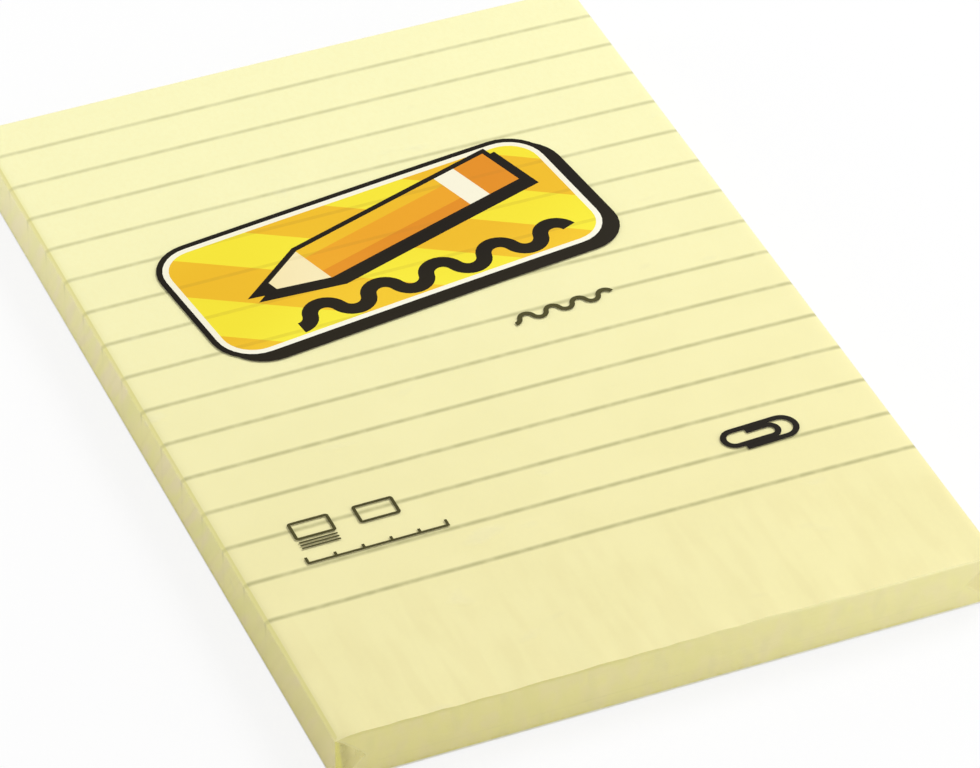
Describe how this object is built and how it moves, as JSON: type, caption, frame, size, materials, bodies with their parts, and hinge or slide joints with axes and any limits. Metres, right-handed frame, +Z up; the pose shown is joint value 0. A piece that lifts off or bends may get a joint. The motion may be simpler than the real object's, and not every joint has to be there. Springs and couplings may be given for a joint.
{
  "type": "sticky note pad",
  "caption": "Pad of ruled yellow sticky notes in tight clear film: a flat block of cut sheets on a backing sheet, with a blank gummed header, and film ends folded shut.",
  "frame": {"origin": "middle of the underside, on the film's flat outer face", "axes": "+X across the ruled lines' length, +Y along the pad away from the notes' gummed header, +Z up out of the top sheet"},
  "size_m": [0.1022, 0.1524, 0.0093],
  "materials": {
    "note_paper": "uncoated pale yellow writing paper",
    "note_gum": "thin translucent low-tack gum",
    "backing_card": "smooth white coated card",
    "clear_film": "clear glossy film with printed shapes"
  },
  "bodies": {
    "root": {"note_sheets": "note_paper", "adhesive_strip": "note_gum", "backing_sheet": "backing_card", "film_wrap": "clear_film"}
  },
  "joints": []
}
